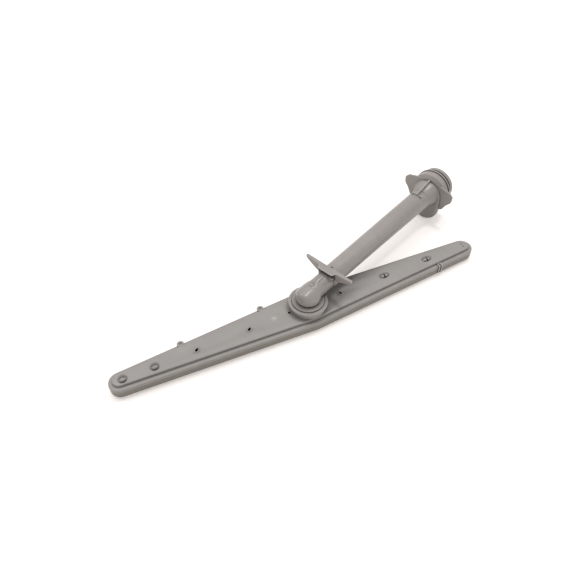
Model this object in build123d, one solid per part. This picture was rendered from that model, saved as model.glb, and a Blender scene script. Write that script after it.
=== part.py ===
from build123d import *
import math
import os

# A dishwasher spray arm that turns under its feed conduit. Lengths are in millimetres, angles in degrees.
# The origin lies on the turning axis, level with the arm's underside.
# +Z is up and +Y runs along the feed tube to the docking collar.

# Arm outline
arm_span = 476.6
arm_middle_radius = 26.5
arm_tip_radius = 12.5
arm_rest_bearing = 69.3

# Arm heights
tray_height = 11.8
rim_height = 15.0
panel_height = 18.3

# Arm shells
shell_wall = 2.0
tray_bottom_radius = 5.0
tray_inner_radius = 3.0
panel_inset = 4.8
rim_edge_radius = 0.9
panel_edge_radius = 0.9

# Hub collar on the upper shell
collar_radius = 21.5
collar_top = 25.4
collar_edge = 0.5
collar_foot_radius = 22.7
collar_foot_rise = 1.0
well_radius = 19.3
ledge_top = 19.4
ledge_thickness = 2.4

# Round jets: place along the arm, place across it and slant of the nozzle to the arm
round_jets = (
    (-139.0, -1.2, 38.0),
    (-75.7, -1.2, 38.0),
    (43.6, 0.0, -70.0),
)
eye_length = 15.0
eye_width = 8.4
eye_depth = 0.5
eye_slope = 1.1
nozzle_foot = (9.0, 6.8)
nozzle_top = (7.8, 5.6)
nozzle_hole = (5.6, 3.5)
nozzle_rise = 0.5
collar_jet_place = -24.4
collar_jet_foot = 3.6
collar_jet_top = 2.8
collar_jet_hole = 1.8

# Slit jets: end of the arm, distance from its tip, place across the arm, length and width of the dish,
# turn and side shift of the slit
slit_jets = (
    (-1, 15.7, -0.9, 11.6, 11.6, 90.0, 1.9),
    (-1, 51.0, -1.2, 11.6, 11.6, 90.0, 1.9),
    (1, 131.8, 0.7, 15.0, 9.6, 0.0, 0.0),
    (1, 68.7, 0.7, 15.0, 9.6, 0.0, 0.0),
)
dish_depth = 2.4
dish_slope = 2.6
dish_back_wall = 1.6
dome_end_gap = 0.7
dome_half_width = 2.8
dome_sink = 2.0
slit_width = 2.0
slit_length = 6.4

# Small features on the arm
gate_place = -43.7
gate_radius = 2.6
gate_rise = 1.1
tip_jet_distance = 13.3
tip_jet_radius = 1.1
tip_jet_depth = 0.8
tip_jet_spread = 2.4
ear_places = (-152.0, -51.0)
ear_radius = 4.2
ear_height = 4.0
ear_pit_radius = 1.9
ear_pit_depth = 0.9
strap_place = 180.0
strap_width = 5.6
strap_thickness = 1.3
strap_foot = 4.6
strap_groove = 1.8

# Bearing between conduit and arm
running_clearance = 0.09
thrust_clearance = 0.15
collar_clearance = 0.4
washer_thickness = 1.2
washer_margin = 0.3
spigot_bore_radius = 10.8
spigot_radius = 15.3
spigot_length = 6.8
ring_thickness = 2.0
ring_reach = 2.5
ring_groove_depth = 1.1

# Conduit hub: a bell that covers the arm's collar, with the elbow on top
bell_clearance = 0.5
bell_radius = 23.2
bell_thickness = 2.0
bell_edge_radius = 0.95
bell_groove_width = 0.8
bell_groove_depth = 1.0
crown_radius = 18.9
crown_rise = 1.8
crown_edge_radius = 1.1
elbow_radius = 14.4
elbow_end_radius = 11.6
elbow_end_place = 7.0
elbow_sink = 0.6
elbow_cover = -0.5
elbow_roof_radius = 15.0
elbow_top_edge = 4.2
elbow_foot_edge = 4.6
elbow_dome_drop = 2.8

# Neck and tube
neck_radius = 11.3
neck_length = 32.5
neck_wall = 2.6
neck_end_radius = 5.0
tube_start_radius = 12.35
tube_end_radius = 14.2
tube_wall = 2.0
tube_lift = 4.6
neck_rib_width = 1.7
neck_rib_top = 13.0
neck_rib_side = 1.4
neck_rib_start = 6.3
neck_rib_slope = 10.2
neck_rib_root = 9.0
ejector_mark_radius = 3.3
ejector_mark_width = 0.7
ejector_mark_depth = 0.8
ejector_mark_place = (-1.1, 6.9)
tube_dimple_place = 41.0
tube_dimple_radius = 2.2
tube_dimple_depth = 0.9

# Rack clip: heights measured from the tube axis, depths from the clip's back, its belly from the clip's end
clip_back = 37.6
clip_top = 16.9
clip_half_span = 33.8
clip_tip_depth = 3.0
clip_tip_height = 2.4
clip_belly = (9.8, 9.2)
clip_root_half = 12.5
clip_root_depth = 4.7
clip_root_bottom = 5.4
clip_pad_depth = 9.5
clip_pad_half = 9.8
clip_corner_radius = 2.4
slot_height = 5.6
slot_bottom = 10.1
slot_depth = 3.4
lip_plate_depth = 9.6
lip_plate_half = 11.0
lip_plate_corner = 3.6
lip_plate_thickness = 2.2
lip_bead_depth = 1.5
lip_bead_rise = 0.5

# Docking plate and belly: heights measured from the arm's underside
sweep_clearance = 1.6
belly_relief = 3.4
belly_radius = 20.6
belly_edge_radius = 3.1
belly_foot = 1.6
belly_top = 60.6
plate_thickness = 2.4
plate_apex = 64.9
wing_shoulder = (32.3, 55.8)
wing_tip_upper = (36.5, 51.4)
wing_tip_lower = (35.9, 43.2)
wing_root = (29.8, 35.8)
wing_foot = (25.4, 27.2)
wing_corner_radius = 1.6

# Flare between tube and belly
flare_length = 15.0
flare_radius = 18.2
flare_lift = 0.8

# Docking collar: lengths one after the other from the plate's back, steps measured from the seal's seat
dock_axis_height = 44.0
dock_band_step = 3.1
dock_band_length = 8.4
dock_groove_step = 1.3
dock_groove_length = 1.6
dock_rib_step = 3.9
dock_rib_length = 1.8
seal_seat_radius = 21.6
seal_seat_length = 5.4
dock_end_step = 1.5
dock_end_length = 5.8
dock_end_edge = 0.9
dock_bore_radius = 18.6
dock_bore_length = 22.0
dock_lead_in = 1.4
dock_stop = 1.2

# Dock seal
seal_thickness = 1.8
seal_edge_radius = 0.8

# Spine on the docking end
spine_width = 2.4
spine_length = 29.4
spine_start_top = 57.2
spine_end_top = 63.9
spine_root = 48.0
cross_half = 7.6
cross_depth = 2.2
cross_sink = 1.0
spur_length = 5.0
spur_sink = 1.8

# Places that follow from the sizes above
bell_bottom = collar_top + bell_clearance
bell_top = bell_bottom + bell_thickness
crown_top = bell_top + crown_rise
tube_axis_height = bell_bottom + neck_radius
belly_front = arm_span / 2 + sweep_clearance
plate_front = belly_front + belly_relief
plate_back = plate_front + plate_thickness
dock_band_radius = seal_seat_radius + dock_band_step
dock_groove_radius = seal_seat_radius + dock_groove_step
dock_rib_radius = seal_seat_radius + dock_rib_step
dock_end_radius = seal_seat_radius + dock_end_step
seal_radius = seal_seat_radius + seal_thickness
dock_band_end = plate_back + dock_band_length
dock_groove_end = dock_band_end + dock_groove_length
dock_rib_end = dock_groove_end + dock_rib_length
seal_seat_end = dock_rib_end + seal_seat_length
dock_end = seal_seat_end + dock_end_length
tube_rise = math.degrees(math.atan2(tube_lift, plate_front))
flange_bottom = ledge_top + thrust_clearance + washer_thickness
ring_top = ledge_top - ledge_thickness - thrust_clearance


def arm_outline(inset):
    tip_place = arm_span / 2 - arm_tip_radius
    with BuildSketch() as outline:
        Circle(arm_middle_radius - inset)
        with Locations((tip_place, 0), (-tip_place, 0)):
            Circle(arm_tip_radius - inset)
        make_hull()
    return outline.sketch


def arm_half_width(place):
    tip_place = arm_span / 2 - arm_tip_radius
    slope = (arm_middle_radius - arm_tip_radius) / tip_place
    return (arm_middle_radius - slope * abs(place)) / math.sqrt(1 - slope * slope)


def arm_slab(inset, bottom, top):
    return extrude(Pos(0, 0, bottom) * arm_outline(inset), amount=top - bottom)


def upright(radius, bottom, top):
    return Pos(0, 0, bottom) * Cylinder(radius, top - bottom, align=(Align.CENTER, Align.CENTER, Align.MIN))


def edges_at(solid, height):
    return solid.edges().filter_by(
        lambda e: abs(e.center().Z - height) < 1e-4 and e.bounding_box().size.Z < 1e-4)


def at_rest(solid):
    return Rot(0, 0, arm_rest_bearing) * solid


# Lower shell: a tray with a rounded bottom edge
def make_lower_shell():
    tray = arm_slab(0, 0, tray_height)
    tray = fillet(edges_at(tray, 0), tray_bottom_radius)
    hollow = arm_slab(shell_wall, shell_wall, tray_height + 1)
    hollow = fillet(edges_at(hollow, shell_wall), tray_inner_radius)
    return tray - hollow


def eye_outline(shrink):
    length = eye_length - shrink * eye_length / eye_width
    width = eye_width - shrink
    centre_shift = (length ** 2 - width ** 2) / (4 * width)
    arc = centre_shift + width / 2
    return Pos(0, centre_shift) * Circle(arc) & Pos(0, -centre_shift) * Circle(arc)


def oval(size):
    return Ellipse(size[0] / 2, size[1] / 2)


# Round jet: a raised oval nozzle in a shallow dish with the outline of an eye
def round_jet(place, side, slant):
    foot = panel_height - eye_depth
    spot = Pos(place, side, 0)
    recess = loft([Pos(0, 0, foot) * eye_outline(2 * eye_slope),
                   Pos(0, 0, panel_height + eye_depth) * eye_outline(-2 * eye_slope)])
    nozzle = loft([Pos(0, 0, foot) * oval(nozzle_foot),
                   Pos(0, 0, panel_height + nozzle_rise) * oval(nozzle_top)])
    backing = upright(nozzle_foot[0] / 2 + shell_wall, foot - shell_wall, panel_height - 0.1)
    hole = extrude(Pos(0, 0, tray_height) * oval(nozzle_hole), amount=panel_height)
    turn = Rot(0, 0, slant)
    return spot * recess, spot * turn * nozzle, spot * backing, spot * turn * hole


def collar_jet():
    rise = panel_height + nozzle_rise - tray_height
    cone = Pos(collar_jet_place, 0, panel_height + nozzle_rise) * Cone(
        collar_jet_foot, collar_jet_top, 2 * nozzle_rise, align=(Align.CENTER, Align.CENTER, Align.MAX))
    hole = Pos(collar_jet_place, 0, 0) * upright(collar_jet_hole, tray_height, tray_height + rise + 1)
    return cone, hole


# Slit jet: a long dome in a dish, cut across by the slit
def slit_jet(end, tip_distance, side, dish_length, dish_width, slit_turn, slit_shift):
    place = end * (arm_span / 2 - tip_distance)
    floor = panel_height - dish_depth
    run = 2 * dish_slope
    dish = loft([Pos(place, side, floor) * oval((dish_length - run, dish_width - run)),
                 Pos(place, side, panel_height + dish_depth) * oval((dish_length + run, dish_width + run))])
    dome_half = dish_length / 2 - dome_end_gap
    with BuildSketch(Plane.XZ) as profile:
        with BuildLine():
            ThreePointArc((-dome_half, 0), (0, dome_half_width), (dome_half, 0))
            Line((dome_half, 0), (-dome_half, 0))
        make_face()
    dome = Pos(place, side, panel_height - dome_sink) * revolve(profile.sketch, Axis.X)
    back = floor - dish_back_wall
    backing = Pos(place, side, 0) * upright(dish_length / 2 + dish_back_wall, back, panel_height - 0.1)
    backing = backing & arm_slab(panel_inset + shell_wall / 2, tray_height, panel_height)
    slit = Box(slit_width, slit_length, 2 * panel_height, align=(Align.CENTER, Align.CENTER, Align.MIN))
    slit = Pos(place, side + slit_shift, back - 1) * Rot(0, 0, slit_turn) * slit
    return dish, dome, backing, slit


# Upper shell: flange, raised panel, jets and hub collar
def make_upper_shell():
    flange = arm_slab(0, tray_height, rim_height)
    flange = fillet(edges_at(flange, rim_height), rim_edge_radius)
    panel = arm_slab(panel_inset, tray_height, panel_height)
    panel = fillet(edges_at(panel, panel_height), panel_edge_radius)
    hollow = arm_slab(panel_inset + shell_wall, tray_height - 1, panel_height - shell_wall)
    shell = flange + panel - hollow

    collar = upright(collar_radius, panel_height - shell_wall, collar_top)
    shell = shell + chamfer(edges_at(collar, collar_top), collar_edge)
    foot = upright(collar_foot_radius, panel_height - shell_wall, panel_height + collar_foot_rise)
    shell = shell + (foot & arm_slab(panel_inset + panel_edge_radius, tray_height, collar_top))
    ledge_bottom = ledge_top - ledge_thickness
    shell = shell - upright(well_radius, ledge_top, collar_top + 1)
    shell = shell - upright(spigot_radius + running_clearance, tray_height - 1, ledge_top + 1)
    shell = shell - upright(well_radius, tray_height - 1, ledge_bottom)

    jets = [round_jet(*sizes) for sizes in round_jets]
    jets += [slit_jet(*sizes) for sizes in slit_jets]
    for recess, rise, backing, hole in jets:
        shell = shell + backing - recess + rise - hole
    cone, hole = collar_jet()
    shell = shell + cone - hole
    shell = shell - upright(well_radius, ledge_top, collar_top + 1)

    gate_ball = (gate_radius ** 2 + gate_rise ** 2) / (2 * gate_rise)
    gate = Pos(gate_place, 0, panel_height + gate_rise - gate_ball) * Sphere(gate_ball)
    shell = shell + (gate & Pos(gate_place, 0, 0) * upright(gate_radius + 1, panel_height - 0.5, collar_top))
    for side in (-1, 1):
        spot = Pos(arm_span / 2 - tip_jet_distance, side * tip_jet_spread, panel_height - tip_jet_depth)
        shell = shell - spot * upright(tip_jet_radius, 0, 2 * tip_jet_depth)

    for place in ear_places:
        ear = Pos(place, arm_half_width(place), 0)
        shell = shell + ear * upright(ear_radius, tray_height, tray_height + ear_height)
        shell = shell - ear * upright(ear_pit_radius, tray_height + ear_height - ear_pit_depth, panel_height)

    edge = arm_half_width(strap_place)
    strap_bottom = Pos(strap_place, -edge - strap_thickness / 2, strap_foot)
    strap = strap_bottom * Box(strap_width, strap_thickness, rim_height - strap_foot,
                               align=(Align.CENTER, Align.CENTER, Align.MIN))
    strap_cap = Pos(strap_place, -edge - strap_thickness, tray_height)
    strap = strap + strap_cap * Box(strap_width, panel_inset + strap_thickness,
                                    rim_height + strap_thickness - tray_height,
                                    align=(Align.CENTER, Align.MIN, Align.MIN))
    strap = strap - Pos(strap_place, -edge - strap_thickness, rim_height) * Box(
        strap_groove, 2 * panel_inset, 20)
    keep_out = arm_slab(0, -1, tray_height)
    return shell + (strap - keep_out)


def across(place):
    return Plane(origin=(0, place, 0), x_dir=(-1, 0, 0), z_dir=(0, 1, 0))


def turned(points):
    profile = make_face(Polyline(points, close=True))
    return revolve(Plane.YZ * profile, Axis.Y)


def inclined(solid):
    return Pos(0, 0, tube_axis_height) * Rot(tube_rise, 0, 0) * solid


def at_dock(solid):
    return Pos(0, 0, dock_axis_height) * solid


def tube_level(place):
    return tube_axis_height + tube_lift * place / plate_front


def hub_elbow():
    foot = crown_top - elbow_sink
    with BuildSketch(Plane.XY.offset(foot)) as plan:
        Circle(elbow_radius)
        with Locations((0, elbow_end_place)):
            Circle(elbow_end_radius)
        make_hull()
    drum = extrude(plan.sketch, amount=2 * elbow_radius)
    drum = fillet(edges_at(drum, foot), elbow_foot_edge)
    roof_centre = neck_radius + elbow_cover - elbow_roof_radius
    with BuildSketch(Plane.XZ) as roof:
        with Locations((0, roof_centre)):
            Circle(elbow_roof_radius)
            Rectangle(2 * elbow_roof_radius, 2 * elbow_radius, align=(Align.CENTER, Align.MAX))
    elbow = drum & inclined(extrude(roof.sketch, amount=2 * elbow_radius, both=True))
    rim = elbow.edges().filter_by(lambda e: e.bounding_box().min.Z > foot + elbow_foot_edge + 0.1)
    rim = rim.filter_by(GeomType.LINE, reverse=True)
    return fillet(rim, elbow_top_edge)


def rack_clip():
    tip_bottom = clip_top - clip_tip_height
    belly_x = clip_half_span - clip_belly[0]
    belly_z = clip_belly[1]
    with BuildSketch(across(clip_back - clip_pad_depth)) as front_view:
        with BuildLine():
            Polyline((-clip_half_span, tip_bottom), (-clip_half_span, clip_top), (clip_half_span, clip_top),
                     (clip_half_span, tip_bottom))
            ThreePointArc((clip_half_span, tip_bottom), (belly_x, belly_z),
                          (clip_root_half, clip_root_bottom))
            Line((clip_root_half, clip_root_bottom), (-clip_root_half, clip_root_bottom))
            ThreePointArc((-clip_root_half, clip_root_bottom), (-belly_x, belly_z),
                          (-clip_half_span, tip_bottom))
        make_face()
    front_solid = extrude(front_view.sketch, amount=clip_pad_depth)
    pad_front = clip_back - clip_pad_depth
    tip_front = clip_back - clip_tip_depth
    root_front = clip_back - clip_root_depth
    top_view = make_face(Polyline([
        (-clip_half_span, clip_back), (clip_half_span, clip_back), (clip_half_span, tip_front),
        (clip_root_half, root_front), (clip_pad_half, pad_front), (-clip_pad_half, pad_front),
        (-clip_root_half, root_front), (-clip_half_span, tip_front)], close=True))
    pad_corners = top_view.vertices().filter_by(lambda v: abs(v.Y - pad_front) < 0.01)
    top_view = fillet(pad_corners, clip_corner_radius)
    tip_corners = top_view.vertices().filter_by(lambda v: abs(v.X) > clip_half_span - 0.1)
    top_view = fillet(tip_corners, clip_tip_depth / 2.2)
    clip = front_solid & extrude(top_view, amount=clip_top)
    slot_back = clip_back - slot_depth
    mouth = Box(2 * clip_root_half, 2 * clip_pad_depth, slot_height + slot_bottom,
                align=(Align.CENTER, Align.MAX, Align.MIN))
    clip = clip - Pos(0, slot_back, 0) * mouth
    plate_start = clip_back - lip_plate_depth
    plate = Pos(0, plate_start, slot_bottom - lip_plate_thickness) * Box(
        2 * lip_plate_half, slot_back + 1 - plate_start, lip_plate_thickness + lip_bead_rise,
        align=(Align.CENTER, Align.MIN, Align.MIN))
    plate = fillet(plate.edges().filter_by(Axis.Z).group_by(Axis.Y)[0], lip_plate_corner)
    return clip + plate


# Room for the rack wire between the clip's pad and the lip plate, behind the lip's bead
def wire_slot():
    slot_front = clip_back - lip_plate_depth + lip_bead_depth
    slot_back = clip_back - slot_depth
    return Pos(0, slot_front, slot_bottom) * Box(2 * clip_root_half, slot_back - slot_front, slot_height,
                                                 align=(Align.CENTER, Align.MIN, Align.MIN))


# Shield plate with two wings and the belly's outline, lying across the tube
def belly_outline():
    low = belly_foot + belly_radius
    high = belly_top - belly_radius
    return Pos(0, (low + high) / 2) * SlotCenterToCenter(high - low, 2 * belly_radius, rotation=90)


def shield_plate():
    half = [(0, plate_apex), wing_shoulder, wing_tip_upper, wing_tip_lower, wing_root, wing_foot,
            (0, wing_foot[1] - belly_radius / 2)]
    other = [(-x, y) for x, y in reversed(half[1:-1])]
    wings = make_face(Polyline(half + other, close=True))
    wing_corners = wings.vertices().filter_by(lambda v: abs(v.X) > wing_root[0] + 0.5)
    wings = fillet(wing_corners, wing_corner_radius)
    plate = extrude(across(plate_front) * wings, amount=plate_thickness)
    belly = extrude(across(belly_front) * belly_outline(), amount=plate_back - belly_front)
    front_rim = belly.faces().sort_by(Axis.Y)[0].edges()
    return plate + fillet(front_rim, belly_edge_radius)


def tube_flare():
    start = belly_front - flare_length
    with BuildSketch(Plane.YZ) as half:
        with BuildLine():
            Spline((start, tube_end_radius - flare_lift), (belly_front + belly_edge_radius, flare_radius),
                   tangents=[(1, 0.1), (1, 0.15)])
            Polyline((belly_front + belly_edge_radius, flare_radius),
                     (belly_front + belly_edge_radius, 0), (start, 0),
                     (start, tube_end_radius - flare_lift))
        make_face()
    return Pos(0, 0, tube_level(belly_front) + flare_lift) * revolve(half.sketch, Axis.Y)


def dock_spine():
    start = plate_front - spine_length
    rib = make_face(Polyline([(start, spine_root), (start, spine_start_top),
                              (plate_front + 0.5, spine_end_top),
                              (plate_front + 0.5, spine_root)], close=True))
    spine = extrude(Plane.YZ * rib, amount=spine_width / 2, both=True)
    cross = Box(2 * cross_half, cross_depth, spine_start_top - cross_sink - spine_root,
                align=(Align.CENTER, Align.MIN, Align.MIN))
    spur = Box(spine_width, spur_length, spine_start_top - spur_sink - spine_root,
               align=(Align.CENTER, Align.MAX, Align.MIN))
    return spine + Pos(0, start, spine_root) * cross + Pos(0, start + 0.5, spine_root) * spur


# Water way from the docking bore down to the arm
def conduit_passage():
    funnel_start = belly_front - flare_length / 2
    funnel_end = dock_end - dock_bore_length
    tube_bore = tube_end_radius - tube_wall
    way = inclined(turned([
        (0, 0), (0, neck_radius - neck_wall), (neck_length - 2, neck_radius - neck_wall),
        (neck_length + 4, tube_start_radius - tube_wall), (funnel_start + 1, tube_bore),
        (funnel_start + 1, 0)]))
    funnel = loft([across(funnel_start) * Pos(0, tube_level(funnel_start)) * Circle(tube_bore - 0.2),
                   across(funnel_end + 0.5) * Pos(0, dock_axis_height)
                   * Circle(dock_bore_radius - dock_stop)])
    bore = at_dock(turned([
        (funnel_end, 0), (funnel_end, dock_bore_radius), (dock_end - dock_lead_in, dock_bore_radius),
        (dock_end, dock_bore_radius + dock_lead_in),
        (dock_end + 1, dock_bore_radius + dock_lead_in), (dock_end + 1, 0)]))
    dome_height = tube_axis_height - elbow_dome_drop
    drop = upright(spigot_bore_radius, 0, dome_height)
    dome = Pos(0, 0, dome_height) * Sphere(spigot_bore_radius)
    return [way, funnel, bore, drop, dome]


# Feed conduit: hub elbow, neck, rack clip, tube and docking end in one moulding
def make_feed_conduit():
    bell = upright(bell_radius, bell_bottom, bell_top)
    bell = fillet(edges_at(bell, bell_top), bell_edge_radius)
    groove = upright(crown_radius + bell_groove_width, bell_top - bell_groove_depth, bell_top + 1)
    crown = upright(crown_radius, bell_top - bell_groove_depth, crown_top)
    crown = fillet(edges_at(crown, crown_top), crown_edge_radius)
    bell = bell - groove + crown + upright(well_radius - collar_clearance, flange_bottom, bell_bottom + 1)
    spigot_end = ledge_top - spigot_length
    spigot = upright(spigot_radius, spigot_end, flange_bottom + 1)
    seat = upright(spigot_radius + 1, ring_top - ring_thickness, ring_top)
    spigot = spigot - (seat - upright(spigot_radius - ring_groove_depth, spigot_end, flange_bottom))
    skin = bell + spigot + hub_elbow()

    neck = turned([(0, 0), (0, neck_radius), (neck_length + 1, neck_radius), (neck_length + 1, 0)])
    neck = fillet(neck.edges().filter_by(GeomType.CIRCLE).sort_by(Axis.Y)[0], neck_end_radius)
    skin = skin + inclined(neck)
    skin = skin + inclined(turned([(neck_length, 0), (neck_length, tube_start_radius),
                                   (plate_front, tube_end_radius), (plate_front, 0)]))
    rib_end = clip_back - lip_plate_depth + 0.5
    rib = make_face(Polyline([
        (neck_rib_start, neck_rib_root), (neck_rib_start + neck_rib_slope, neck_rib_top),
        (rib_end, slot_bottom + lip_bead_rise), (rib_end, neck_rib_root)], close=True))
    rib = Pos(neck_rib_side, 0, 0) * extrude(Plane.YZ * rib, amount=neck_rib_width / 2, both=True)
    skin = skin + inclined(rib) + inclined(rack_clip()) - inclined(wire_slot())

    skin = skin + tube_flare() + shield_plate() + dock_spine()
    skin = skin + at_dock(turned([
        (plate_front, 0), (plate_front, dock_bore_radius), (plate_back, dock_band_radius),
        (dock_band_end, dock_band_radius),
        (dock_band_end, dock_groove_radius), (dock_groove_end, dock_groove_radius),
        (dock_groove_end, dock_rib_radius),
        (dock_rib_end, dock_rib_radius), (dock_rib_end, seal_seat_radius), (seal_seat_end, seal_seat_radius),
        (seal_seat_end, dock_end_radius), (dock_end - dock_end_edge, dock_end_radius),
        (dock_end, dock_end_radius - dock_end_edge), (dock_end, 0)]))
    for hollow in conduit_passage():
        skin = skin - hollow

    mark_x, mark_y = ejector_mark_place
    ring = Cylinder(ejector_mark_radius, 2 * ejector_mark_depth)
    ring = ring - Cylinder(ejector_mark_radius - ejector_mark_width, 2 * ejector_mark_depth)
    skin = skin - inclined(Pos(mark_x, mark_y, neck_radius) * ring)
    dimple = Pos(0, tube_dimple_place, tube_start_radius) * Cylinder(
        tube_dimple_radius, 2 * tube_dimple_depth)
    return skin - inclined(dimple)


def make_bearing_washer():
    bottom = ledge_top + thrust_clearance
    outer = upright(well_radius - collar_clearance - washer_margin, bottom, bottom + washer_thickness)
    return outer - upright(spigot_radius + washer_margin, bottom - 1, bottom + washer_thickness + 1)


def make_retaining_ring():
    ring = upright(spigot_radius + ring_reach, ring_top - ring_thickness, ring_top)
    return ring - upright(spigot_radius - ring_groove_depth, ring_top - ring_thickness - 1, ring_top + 1)


def make_dock_seal():
    ring = at_dock(turned([(dock_rib_end, seal_seat_radius), (dock_rib_end, seal_radius),
                           (seal_seat_end, seal_radius), (seal_seat_end, seal_seat_radius)]))
    outer = ring.edges().filter_by(GeomType.CIRCLE).filter_by(lambda e: e.radius > seal_radius - 0.1)
    return fillet(outer, seal_edge_radius)


os.makedirs("parts", exist_ok=True)
pieces = {
    "arm_lower_shell": at_rest(make_lower_shell()),
    "arm_upper_shell": at_rest(make_upper_shell()),
    "feed_conduit": make_feed_conduit(),
    "bearing_washer": make_bearing_washer(),
    "retaining_ring": make_retaining_ring(),
    "dock_seal": make_dock_seal(),
}
for name, solid in pieces.items():
    export_step(solid, os.path.join("parts", name + ".step"))
    print(name, "volume", round(solid.volume, 1), "solids", len(solid.solids()), "valid", solid.is_valid)
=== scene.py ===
import math

import bpy
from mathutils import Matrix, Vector


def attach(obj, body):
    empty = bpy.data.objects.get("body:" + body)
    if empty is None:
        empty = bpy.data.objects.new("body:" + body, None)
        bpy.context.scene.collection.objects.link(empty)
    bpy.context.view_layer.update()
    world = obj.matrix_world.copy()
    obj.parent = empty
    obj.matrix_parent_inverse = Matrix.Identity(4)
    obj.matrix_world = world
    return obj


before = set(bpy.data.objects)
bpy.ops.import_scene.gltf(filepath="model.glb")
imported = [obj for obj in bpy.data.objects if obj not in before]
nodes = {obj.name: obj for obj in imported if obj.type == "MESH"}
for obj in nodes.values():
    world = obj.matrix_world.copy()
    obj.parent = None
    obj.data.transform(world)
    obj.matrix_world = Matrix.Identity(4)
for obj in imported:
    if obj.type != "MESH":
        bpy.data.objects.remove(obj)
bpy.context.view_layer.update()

# Seam of the arm's two shells, in metres, its weld bead, and the arm's bearing at rest, in degrees
ARM_MIDDLE_RADIUS = 0.0265
ARM_TIP_RADIUS = 0.0125
ARM_TIP_PLACE = 0.2258
ARM_BEARING = 69.3
SEAM_HEIGHT = 0.0118
SEAM_POINTS = 400
WELD_RADIUS = 0.00022

# Gate mark on the lid, where the plastic entered the mould: place along the arm, height, and a painted
# highlight round it that is full within its core and fades out to its reach
GATE_PLACE = -0.0437
GATE_HEIGHT = 0.0192
GATE_CORE = 0.0006
GATE_HIGHLIGHT_REACH = 0.0046
GATE_HIGHLIGHT = 1.60

# Parting lines that the mould left on both sides of the feed tube: side, place along it and height
PARTING_START = (0.01242, 0.0400, 0.03796)
PARTING_END = (0.01400, 0.2215, 0.04139)
PARTING_RADIUS = 0.00014

# Curved fin that climbs from the side of the elbow's neck to the rack clip
NECK_FIN_START = (0.0052, 0.0076, 0.0470)
NECK_FIN_MIDDLE = (0.0006, 0.0135, 0.0510)
NECK_FIN_END = (0.0014, 0.0234, 0.0495)
NECK_FIN_RADIUS = 0.00055
NECK_FIN_POINTS = 32

# Beads: step along the path, corners of the round section, and how their thickness wanders
BEAD_STEP = 0.0012
BEAD_CORNERS = 8
WANDER_SCALE = 150.0
FLASH_UNEVENNESS = 0.3
NECK_FIN_UNEVENNESS = 0.05

# Colours, roughness and depth of grain of the plastics and the rubber
ARM_GREY = (0.317, 0.296, 0.280, 1.0)
# The tray is the lid's plastic, painted darker and warmer: painted shade, with warm light bounced from the
# floor
SHADED_TRAY_GREY = (0.238, 0.214, 0.187, 1.0)
CONDUIT_GREY = (0.324, 0.297, 0.280, 1.0)
BEARING_WHITE = (0.80, 0.79, 0.75, 1.0)
SEAL_BLACK = (0.045, 0.044, 0.043, 1.0)
ARM_ROUGHNESS = 0.36
TRAY_ROUGHNESS = 0.40
CONDUIT_ROUGHNESS = 0.29
BEARING_ROUGHNESS = 0.35
ARM_GRAIN = 0.00005
CONDUIT_GRAIN = 0.00003
PLASTIC_SPECULAR = 0.42

# Patterns in the plastic: scales per metre, and the depth of the sink waves in metres
CLOUD_SCALE = 30.0
STREAK_SCALE = 190.0
STREAK_STRETCH = 0.16
GRAIN_SCALE = 1700.0
SINK_SCALE = 55.0
SINK_DEPTH = 0.0004

# Shade in creases and hollows and gleam on thin edges: reach in metres, and the factor at its strongest
CREASE_REACH = 0.004
CREASE_SHADE = 0.70
HOLLOW_REACH = 0.055
HOLLOW_SHADE = 0.46
OPEN_LIFT = 1.04
EDGE_REACH = 0.0014
EDGE_GLEAM = 1.62

# Patterns in the seal's rubber
BLOOM_SCALE = 120.0
RUBBER_GRAIN_SCALE = 2600.0
RUBBER_GRAIN = 0.00008
MOULD_RING_SCALE = 240.0
MOULD_RING_DEPTH = 0.0002

# Pale floor
FLOOR_WHITE = (0.93, 0.89, 0.865, 1.0)
FLOOR_GLOW = (1.0, 0.94, 0.905, 1.0)
FLOOR_LIFT = 0.34
FLOOR_HALF = 3.0
FLOOR_HEIGHT = -0.0002

# Light: an even sky, a soft key almost overhead and two small lamps, each with its place and power
SKY_LIGHT = 0.62
KEY_LIGHT = 0.68
KEY_SOFTNESS = 0.9
KEY_TILT = (-0.10, -0.40, 0.0)
SMALL_LAMPS = (((-0.60, -0.30, 1.10), 1.2), ((0.10, 0.45, 1.25), 3.4))
SMALL_LAMP_SIZE = 0.22

# Camera, with its turn in degrees
CAMERA_PLACE = (0.28488, -0.33965, 0.5333)
CAMERA_TURN = (42.3934, 0.4073, 42.5333)
CAMERA_LENS = 36.1986
CAMERA_SENSOR = 36.0
CAMERA_SHIFT = 0.5 / 576

# Edges sharper than this stay crisp on the moulded solids, and points closer than this are one
CRISP_EDGE = math.radians(28)
SAME_POINT = 1e-6


def add(tree, kind, values=None, **settings):
    node = tree.nodes.new(kind)
    for name, setting in settings.items():
        setattr(node, name, setting)
    for socket, value in (values or {}).items():
        node.inputs[socket].default_value = value
    return node


def join(tree, source, target, source_socket=0, target_socket=0):
    tree.links.new(source.outputs[source_socket], target.inputs[target_socket])


def noise(tree, place, scale, detail, roughness):
    texture = add(tree, "ShaderNodeTexNoise", {"Scale": scale, "Detail": detail, "Roughness": roughness})
    join(tree, place, texture, 0, "Vector")
    return texture


def spread(tree, source, low, high, socket=0, source_low=0.3, source_high=0.7):
    ranged = add(tree, "ShaderNodeMapRange", {
        "From Min": source_low, "From Max": source_high, "To Min": low, "To Max": high})
    join(tree, source, ranged, socket, "Value")
    return ranged


def arithmetic(tree, operation, *terms):
    node = add(tree, "ShaderNodeMath", operation=operation)
    for number, (source, socket) in enumerate(terms):
        join(tree, source, node, socket, number)
    return node


def times(tree, first, second):
    return arithmetic(tree, "MULTIPLY", (first, 0), (second, 0))


def tinted(tree, colour, factor):
    shade = add(tree, "ShaderNodeVectorMath", {0: colour[:3]}, operation="SCALE")
    join(tree, factor, shade, 0, "Scale")
    return shade


def nearness(tree, reach, inside=False):
    return add(tree, "ShaderNodeAmbientOcclusion", {"Distance": reach}, samples=8, inside=inside)


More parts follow.
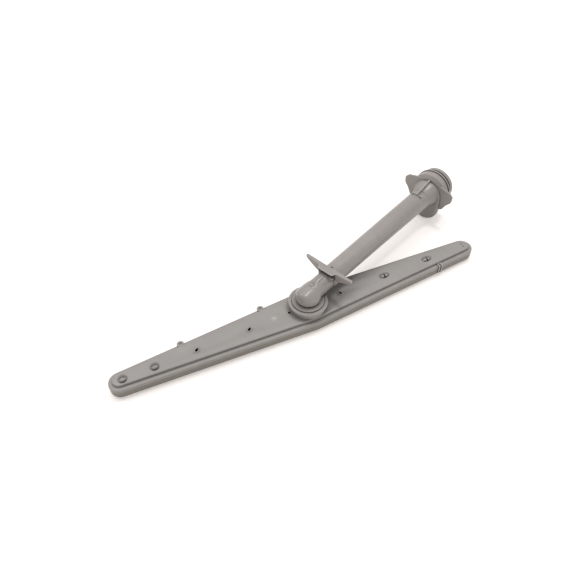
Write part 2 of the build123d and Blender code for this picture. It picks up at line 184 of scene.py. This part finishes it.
def relief(tree, height, strength, depth, socket=0, below=None):
    bump = add(tree, "ShaderNodeBump", {"Strength": strength, "Distance": depth})
    join(tree, height, bump, socket, "Height")
    if below:
        join(tree, below, bump, 0, "Normal")
    return bump


def new_material(name):
    material = bpy.data.materials.new(name)
    material.use_nodes = True
    return material, material.node_tree, material.node_tree.nodes["Principled BSDF"]


# Moulded plastic: flow streaks along the moulding, faint clouding, fine grain, shade in creases and hollows,
# a gleam on thin edges and, on the lid, a painted highlight round its gate mark
def moulded_plastic(name, colour, bearing, roughness, grain_depth, gate=None):
    material, tree, skin = new_material(name)
    coordinates = add(tree, "ShaderNodeTexCoord")
    place = add(tree, "ShaderNodeMapping")
    join(tree, coordinates, place, "Object", "Vector")
    along = add(tree, "ShaderNodeMapping", {
        "Rotation": (0, 0, -math.radians(bearing)), "Scale": (STREAK_STRETCH, 1.0, 1.0)})
    join(tree, coordinates, along, "Object", "Vector")
    clouds = noise(tree, place, CLOUD_SCALE, 3.0, 0.55)
    streaks = noise(tree, along, STREAK_SCALE, 4.0, 0.6)
    grain = noise(tree, place, GRAIN_SCALE, 2.0, 0.5)
    sinks = noise(tree, place, SINK_SCALE, 1.0, 0.4)

    tone = times(tree, spread(tree, clouds, 0.95, 1.05), spread(tree, streaks, 0.975, 1.025))
    tone = times(tree, tone, spread(tree, grain, 0.98, 1.02))
    creases = spread(tree, nearness(tree, CREASE_REACH), CREASE_SHADE, 1.0, "AO", 0.20, 0.95)
    hollows = spread(tree, nearness(tree, HOLLOW_REACH), HOLLOW_SHADE, OPEN_LIFT, "AO", 0.12, 0.74)
    edges = spread(tree, nearness(tree, EDGE_REACH, True), EDGE_GLEAM, 1.0, "AO", 0.15, 0.72)
    for factor in (creases, hollows, edges):
        tone = times(tree, tone, factor)
    # On the lid, a painted highlight: the colour is paler round the gate mark
    if gate:
        reach = add(tree, "ShaderNodeVectorMath", {1: gate}, operation="DISTANCE")
        join(tree, coordinates, reach, "Object", 0)
        tone = times(tree, tone, spread(tree, reach, GATE_HIGHLIGHT, 1.0, "Value", GATE_CORE, GATE_HIGHLIGHT_REACH))
    join(tree, tinted(tree, colour, tone), skin, 0, "Base Color")

    matt = spread(tree, clouds, roughness - 0.04, roughness + 0.05)
    join(tree, times(tree, matt, spread(tree, grain, 0.94, 1.06)), skin, 0, "Roughness")
    waves = relief(tree, sinks, 0.25, SINK_DEPTH)
    join(tree, relief(tree, grain, 0.35, grain_depth, below=waves), skin, 0, "Normal")
    skin.inputs["Specular IOR Level"].default_value = PLASTIC_SPECULAR
    return material


# Seal rubber: matt black with a dusty bloom and fine moulding rings
def seal_rubber(name):
    material, tree, skin = new_material(name)
    coordinates = add(tree, "ShaderNodeTexCoord")
    place = add(tree, "ShaderNodeMapping")
    join(tree, coordinates, place, "Object", "Vector")
    bloom = noise(tree, place, BLOOM_SCALE, 4.0, 0.6)
    grain = noise(tree, place, RUBBER_GRAIN_SCALE, 2.0, 0.5)
    rings = add(tree, "ShaderNodeTexWave", {"Scale": MOULD_RING_SCALE, "Distortion": 0.3},
                wave_type="BANDS", bands_direction="Y")
    join(tree, place, rings, 0, "Vector")
    tone = times(tree, spread(tree, bloom, 0.8, 1.5), spread(tree, grain, 0.92, 1.08))
    join(tree, tinted(tree, SEAL_BLACK, tone), skin, 0, "Base Color")
    join(tree, spread(tree, bloom, 0.62, 0.8), skin, 0, "Roughness")
    ridges = relief(tree, rings, 0.3, MOULD_RING_DEPTH, "Fac")
    join(tree, relief(tree, grain, 0.3, RUBBER_GRAIN, below=ridges), skin, 0, "Normal")
    return material


# Pale floor: white to the camera, and it keeps the part's shadow
def pale_floor():
    material, tree, _ = new_material("floor_white")
    tree.nodes.clear()
    output = add(tree, "ShaderNodeOutputMaterial")
    sheet = add(tree, "ShaderNodeBsdfDiffuse", {"Color": FLOOR_WHITE})
    lift = add(tree, "ShaderNodeEmission", {"Color": FLOOR_GLOW})
    ray = add(tree, "ShaderNodeLightPath")
    seen = arithmetic(tree, "MAXIMUM", (ray, "Is Camera Ray"), (ray, "Is Glossy Ray"))
    seen = arithmetic(tree, "MAXIMUM", (seen, 0), (ray, "Is Transmission Ray"))
    join(tree, spread(tree, seen, 0.0, FLOOR_LIFT, 0, 0.0, 1.0), lift, 0, "Strength")
    both = add(tree, "ShaderNodeAddShader")
    join(tree, sheet, both, 0, 0)
    join(tree, lift, both, 0, 1)
    join(tree, both, output, 0, "Surface")
    mesh = bpy.data.meshes.new("floor")
    sides = ((-1, -1), (1, -1), (1, 1), (-1, 1))
    corners = [(x * FLOOR_HALF, y * FLOOR_HALF, FLOOR_HEIGHT) for x, y in sides]
    mesh.from_pydata(corners, [], [(0, 1, 2, 3)])
    mesh.materials.append(material)
    floor = bpy.data.objects.new("floor", mesh)
    bpy.context.collection.objects.link(floor)


def studio_light():
    world = bpy.data.worlds.new("studio")
    bpy.context.scene.world = world
    world.use_nodes = True
    tree = world.node_tree
    background = tree.nodes["Background"]
    background.inputs["Color"].default_value = (1, 1, 1, 1)
    ray = add(tree, "ShaderNodeLightPath")
    seen = arithmetic(tree, "MAXIMUM", (ray, "Is Camera Ray"), (ray, "Is Transmission Ray"))
    join(tree, spread(tree, seen, SKY_LIGHT, 1.0, 0, 0.0, 1.0), background, 0, "Strength")
    lamp = bpy.data.lights.new("soft_key", "SUN")
    lamp.energy = KEY_LIGHT
    lamp.angle = KEY_SOFTNESS
    key = bpy.data.objects.new("soft_key", lamp)
    key.rotation_euler = KEY_TILT
    bpy.context.collection.objects.link(key)
    for number, (place, power) in enumerate(SMALL_LAMPS):
        panel = bpy.data.lights.new("small_lamp_%d" % number, "AREA")
        panel.shape = "DISK"
        panel.size = SMALL_LAMP_SIZE
        panel.energy = power
        lamp_object = bpy.data.objects.new(panel.name, panel)
        lamp_object.location = place
        lamp_object.rotation_euler = (-Vector(place)).to_track_quat("-Z", "Y").to_euler()
        bpy.context.collection.objects.link(lamp_object)


def place_camera():
    lens = bpy.data.cameras.new("camera")
    lens.sensor_width = CAMERA_SENSOR
    lens.lens = CAMERA_LENS
    lens.shift_y = CAMERA_SHIFT
    camera = bpy.data.objects.new("camera", lens)
    camera.location = CAMERA_PLACE
    camera.rotation_euler = [math.radians(angle) for angle in CAMERA_TURN]
    bpy.context.collection.objects.link(camera)
    bpy.context.scene.camera = camera


# Smooth shading over the moulded solids, with crisp edges where the faces meet sharply
def smooth_moulding_tree():
    tree = bpy.data.node_groups.new("smooth_moulding", "GeometryNodeTree")
    tree.interface.new_socket("Geometry", in_out="INPUT", socket_type="NodeSocketGeometry")
    tree.interface.new_socket("Geometry", in_out="OUTPUT", socket_type="NodeSocketGeometry")
    start = add(tree, "NodeGroupInput")
    end = add(tree, "NodeGroupOutput")
    merge = add(tree, "GeometryNodeMergeByDistance", {"Distance": SAME_POINT})
    smooth = add(tree, "GeometryNodeSetShadeSmooth", domain="FACE")
    crisp = add(tree, "GeometryNodeSetShadeSmooth", {"Shade Smooth": False}, domain="EDGE")
    angle = add(tree, "GeometryNodeInputMeshEdgeAngle")
    sharp = add(tree, "FunctionNodeCompare", {1: CRISP_EDGE}, data_type="FLOAT", operation="GREATER_THAN")
    join(tree, angle, sharp, "Unsigned Angle", 0)
    join(tree, start, merge)
    join(tree, merge, smooth)
    join(tree, smooth, crisp)
    join(tree, sharp, crisp, 0, "Selection")
    join(tree, crisp, end)
    return tree


# A bead's tree has named inputs for its lengths, its places, its thickness and its material
def bead_tree(name, lengths, places=()):
    tree = bpy.data.node_groups.new(name, "GeometryNodeTree")
    tree.interface.new_socket("Geometry", in_out="OUTPUT", socket_type="NodeSocketGeometry")
    for length in lengths:
        tree.interface.new_socket(length, in_out="INPUT", socket_type="NodeSocketFloat")
    for place in places:
        tree.interface.new_socket(place, in_out="INPUT", socket_type="NodeSocketVector")
    tree.interface.new_socket("Bead Radius", in_out="INPUT", socket_type="NodeSocketFloat")
    tree.interface.new_socket("Material", in_out="INPUT", socket_type="NodeSocketMaterial")
    return tree, add(tree, "NodeGroupInput"), add(tree, "NodeGroupOutput")


# Bead along a path: even steps, a thickness that wanders, and a round section
def bead_along(tree, path, start, end, unevenness):
    steps = add(tree, "GeometryNodeResampleCurve", {"Length": BEAD_STEP}, mode="LENGTH")
    join(tree, path, steps)
    wander = add(tree, "ShaderNodeTexNoise", {"Scale": WANDER_SCALE, "Detail": 2.0})
    uneven = spread(tree, wander, 1 - unevenness, 1 + unevenness)
    thickness = arithmetic(tree, "MULTIPLY", (uneven, 0), (start, "Bead Radius"))
    section = add(tree, "GeometryNodeCurvePrimitiveCircle", {"Resolution": BEAD_CORNERS, "Radius": 1.0})
    bead = add(tree, "GeometryNodeCurveToMesh", {"Fill Caps": True})
    join(tree, steps, bead, 0, "Curve")
    join(tree, thickness, bead, 0, "Scale")
    join(tree, section, bead, 0, "Profile Curve")
    smooth = add(tree, "GeometryNodeSetShadeSmooth", domain="FACE")
    real = add(tree, "GeometryNodeRealizeInstances")
    coat = add(tree, "GeometryNodeSetMaterial")
    join(tree, bead, smooth)
    join(tree, smooth, real)
    join(tree, real, coat)
    join(tree, start, coat, "Material", "Material")
    join(tree, coat, end)


# The seam runs round the arm's outline: one circle at the hub, one at each tip, and the lines that touch them
def weld_bead_tree():
    tree, start, end = bead_tree("weld_bead", ("Middle Radius", "Tip Radius", "Tip Place", "Seam Height"))
    turn = add(tree, "GeometryNodeCurvePrimitiveCircle", {"Resolution": SEAM_POINTS, "Radius": 1.0})
    facing = add(tree, "ShaderNodeSeparateXYZ")
    join(tree, add(tree, "GeometryNodeInputPosition"), facing)
    lean = arithmetic(tree, "ABSOLUTE", (facing, "X"))
    reach = arithmetic(tree, "MULTIPLY_ADD", (lean, 0), (start, "Tip Place"), (start, "Tip Radius"))
    on_tip = arithmetic(tree, "GREATER_THAN", (reach, 0), (start, "Middle Radius"))
    drop = arithmetic(tree, "SUBTRACT", (start, "Tip Radius"), (start, "Middle Radius"))
    radius = arithmetic(tree, "MULTIPLY_ADD", (on_tip, 0), (drop, 0), (start, "Middle Radius"))
    end_of_arm = arithmetic(tree, "SIGN", (facing, "X"))
    chosen = times(tree, end_of_arm, on_tip)
    shift = arithmetic(tree, "MULTIPLY", (chosen, 0), (start, "Tip Place"))
    spot = add(tree, "ShaderNodeCombineXYZ")
    join(tree, arithmetic(tree, "MULTIPLY_ADD", (radius, 0), (facing, "X"), (shift, 0)), spot, 0, "X")
    join(tree, arithmetic(tree, "MULTIPLY", (radius, 0), (facing, "Y")), spot, 0, "Y")
    join(tree, start, spot, "Seam Height", "Z")
    outline = add(tree, "GeometryNodeSetPosition")
    join(tree, turn, outline)
    join(tree, spot, outline, 0, "Position")
    at_rest = add(tree, "GeometryNodeTransform", {"Rotation": (0, 0, math.radians(ARM_BEARING))})
    join(tree, outline, at_rest)
    bead_along(tree, at_rest, start, end, FLASH_UNEVENNESS)
    return tree


# One line on each side of the tube, widening with it
def parting_line_tree():
    tree, start, end = bead_tree("parting_lines", ("Start Side", "End Side"))
    both = add(tree, "GeometryNodeJoinGeometry")
    for side in (-1.0, 1.0):
        line = add(tree, "GeometryNodeCurvePrimitiveLine")
        for corner, (_, along, height) in (("Start", PARTING_START), ("End", PARTING_END)):
            across = add(tree, "ShaderNodeMath", {1: side}, operation="MULTIPLY")
            join(tree, start, across, corner + " Side", 0)
            spot = add(tree, "ShaderNodeCombineXYZ", {"Y": along, "Z": height})
            join(tree, across, spot, 0, "X")
            join(tree, spot, line, 0, corner)
        join(tree, line, both)
    bead_along(tree, both, start, end, FLASH_UNEVENNESS)
    return tree


# The fin's crest climbs in one curve
def neck_fin_tree():
    tree, start, end = bead_tree("neck_fin", (), ("Fin Start", "Fin Middle", "Fin End"))
    climb = add(tree, "GeometryNodeCurveQuadraticBezier", {"Resolution": NECK_FIN_POINTS})
    for corner in ("Start", "Middle", "End"):
        join(tree, start, climb, "Fin " + corner, corner)
    bead_along(tree, climb, start, end, NECK_FIN_UNEVENNESS)
    return tree


def bead_piece(name, tree, body, values):
    piece = bpy.data.objects.new(name, bpy.data.meshes.new(name))
    bpy.context.collection.objects.link(piece)
    modifier = piece.modifiers.new(name, "NODES")
    modifier.node_group = tree
    for item in tree.interface.items_tree:
        if item.name in values:
            modifier[item.identifier] = values[item.name]
    depsgraph = bpy.context.evaluated_depsgraph_get()
    mesh = bpy.data.meshes.new_from_object(piece.evaluated_get(depsgraph))
    piece.modifiers.clear()
    piece.data = mesh
    mesh.name = name
    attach(piece, body)


def finish_solid(name, material, shading):
    solid = nodes[name]
    solid.data.materials.clear()
    solid.data.materials.append(material)
    modifier = solid.modifiers.new("smooth_moulding", "NODES")
    modifier.node_group = shading


bpy.context.scene.view_settings.view_transform = "Standard"
place_camera()
studio_light()
pale_floor()

bearing_angle = math.radians(ARM_BEARING)
gate_mark = (GATE_PLACE * math.cos(bearing_angle), GATE_PLACE * math.sin(bearing_angle), GATE_HEIGHT)
arm_plastic = moulded_plastic("arm_upper_plastic", ARM_GREY, ARM_BEARING, ARM_ROUGHNESS, ARM_GRAIN, gate_mark)
# The tray's plastic is the lid's, with painted shade and painted warm bounce light in its colour
shaded_tray_plastic = moulded_plastic("arm_lower_plastic", SHADED_TRAY_GREY, ARM_BEARING, TRAY_ROUGHNESS, ARM_GRAIN)
conduit_plastic = moulded_plastic("conduit_plastic", CONDUIT_GREY, 90.0, CONDUIT_ROUGHNESS, CONDUIT_GRAIN)
bearing_plastic = moulded_plastic("bearing_plastic", BEARING_WHITE, 0.0, BEARING_ROUGHNESS, CONDUIT_GRAIN)
rubber = seal_rubber("seal_rubber")
shading = smooth_moulding_tree()
finish_solid("arm_upper_shell", arm_plastic, shading)
finish_solid("arm_lower_shell", shaded_tray_plastic, shading)
finish_solid("feed_conduit", conduit_plastic, shading)
finish_solid("bearing_washer", bearing_plastic, shading)
finish_solid("retaining_ring", bearing_plastic, shading)
finish_solid("dock_seal", rubber, shading)

bead_piece("weld_bead", weld_bead_tree(), "arm", {
    "Middle Radius": ARM_MIDDLE_RADIUS, "Tip Radius": ARM_TIP_RADIUS, "Tip Place": ARM_TIP_PLACE,
    "Seam Height": SEAM_HEIGHT, "Bead Radius": WELD_RADIUS, "Material": arm_plastic})
bead_piece("tube_parting_lines", parting_line_tree(), "conduit", {
    "Start Side": PARTING_START[0], "End Side": PARTING_END[0], "Bead Radius": PARTING_RADIUS,
    "Material": conduit_plastic})
bead_piece("neck_fin", neck_fin_tree(), "conduit", {
    "Fin Start": NECK_FIN_START, "Fin Middle": NECK_FIN_MIDDLE, "Fin End": NECK_FIN_END,
    "Bead Radius": NECK_FIN_RADIUS, "Material": conduit_plastic})
